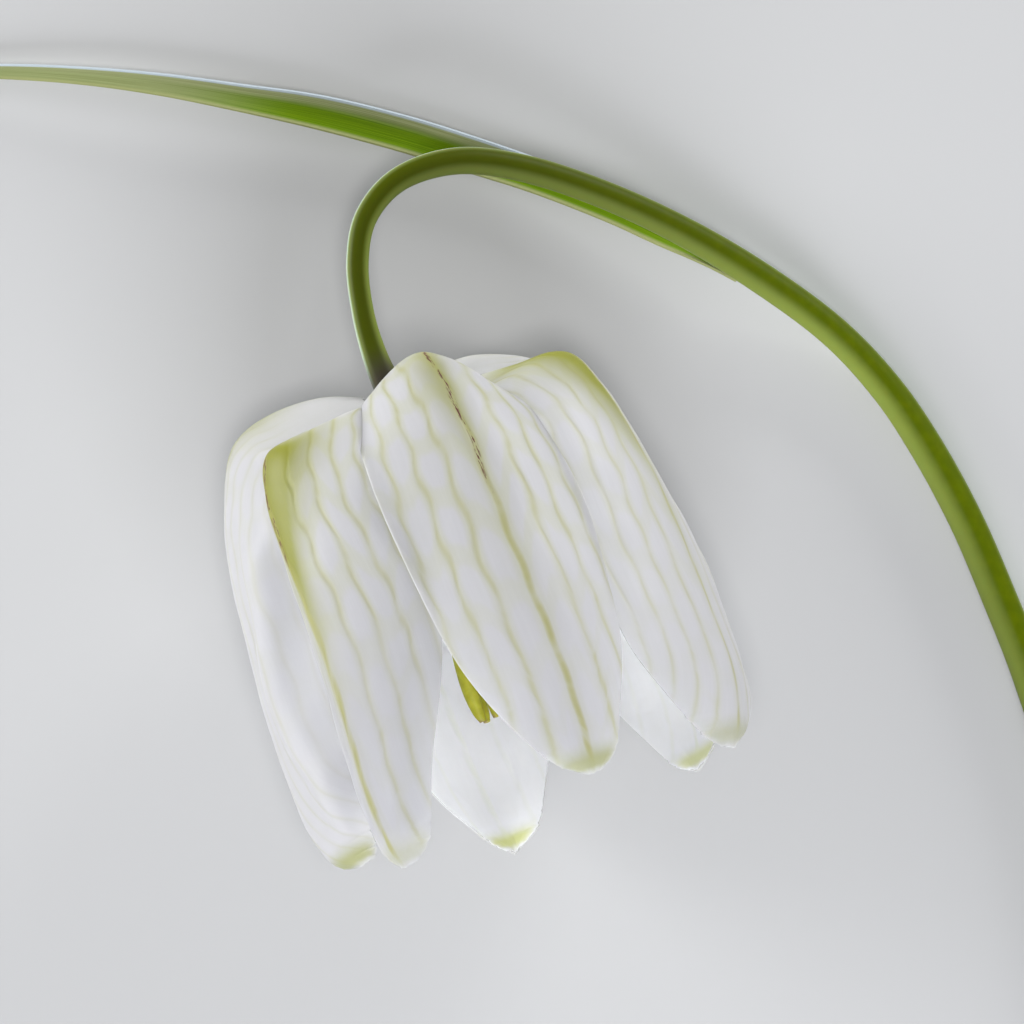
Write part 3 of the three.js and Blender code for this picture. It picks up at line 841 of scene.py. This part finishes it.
def table():
    bpy.ops.object.select_all(action="DESELECT")
    bpy.ops.mesh.primitive_plane_add(size=4, location=(0, 0, BELOW_FLOWER))
    floor = bpy.context.object
    floor.name = "table"
    finish = Finish("pale_table", roughness=0.9, specular=0.1)
    finish.paint((0.50, 0.50, 0.50, 1))
    floor.data.materials.append(finish.material)


def lamp(name, place, size, power, colour):
    bpy.ops.object.light_add(type="AREA", location=place)
    light = bpy.context.object
    light.name = name
    light.data.size = size
    light.data.energy = power
    light.data.color = colour
    light.rotation_euler = (LAMPS_LOOK_AT - Vector(place)).to_track_quat("-Z", "Y").to_euler()


def lights():
    lamp("left_light", (-0.54, 0.16, 0.08), 0.26, 4.7, (0.98, 0.99, 1.0))
    lamp("right_light", (0.34, 0.48, 0.09), 0.26, 3.9, (0.98, 0.99, 1.0))
    lamp("mouth_light", (0.10, -0.50, 0.34), 0.40, 3.85, (0.93, 0.95, 1.0))
    lamp("soft_top_light", (0.02, -0.06, 0.90), 0.15, 2.6, (1.0, 0.99, 0.98))
    world = bpy.data.worlds.new("pale_room")
    bpy.context.scene.world = world
    world.use_nodes = True
    backdrop = world.node_tree.nodes["Background"]
    backdrop.inputs["Color"].default_value = (0.93, 0.96, 1.0, 1)
    backdrop.inputs["Strength"].default_value = 0.22


def camera():
    middle = CENTRE * MM
    bpy.ops.object.camera_add(location=(middle[0], middle[1], CAMERA_HEIGHT), rotation=(0, 0, 0))
    view = bpy.context.object
    view.name = "camera"
    view.data.lens = LENS
    view.data.sensor_width = 36
    bpy.context.scene.camera = view


# Painted light and shade: the outside is a darker grey and the inside a brighter white than the
# petal's own white, standing in for shade on the outer faces and for light shining through the petals
shaded_outside_skin = petal_finish(
    "petal_outside_shaded", ground=(0.41, 0.408, 0.365, 1), cell=(0.42, 0.413, 0.435, 1),
    vein=(0.34, 0.335, 0.195, 1), vein_share=0.75, halo=0.34, midrib=(0.29, 0.28, 0.10, 1),
    tip=(0.25, 0.26, 0.085, 1), green_share=1.0)
lit_inside_skin = petal_finish(
    "petal_inside_lit", ground=(0.94, 0.95, 1.0, 1), cell=(0.96, 0.965, 1.0, 1),
    vein=(0.78, 0.81, 0.64, 1), vein_share=0.6, halo=0.15, midrib=(0.74, 0.78, 0.56, 1),
    tip=(0.50, 0.53, 0.13, 1), green_share=0.2)
for tepal_name, tepal_shape in TEPALS.items():
    tepal(tepal_name, tepal_shape, shaded_outside_skin, lit_inside_skin)
stem(stem_finish())
leaf(leaf_finish())
pistil(plain_finish("pistil_skin", (0.28, 0.28, 0.008, 1), (0.39, 0.38, 0.022, 1), 900, 0.5))
pollen = plain_finish("stamen_skin", (0.55, 0.45, 0.12, 1), (0.72, 0.62, 0.25, 1), 1800, 0.8)
for stamen_number in range(1, STAMENS + 1):
    stamen(stamen_number, pollen)

table()
lights()
camera()
bpy.context.scene.view_settings.view_transform = "Standard"
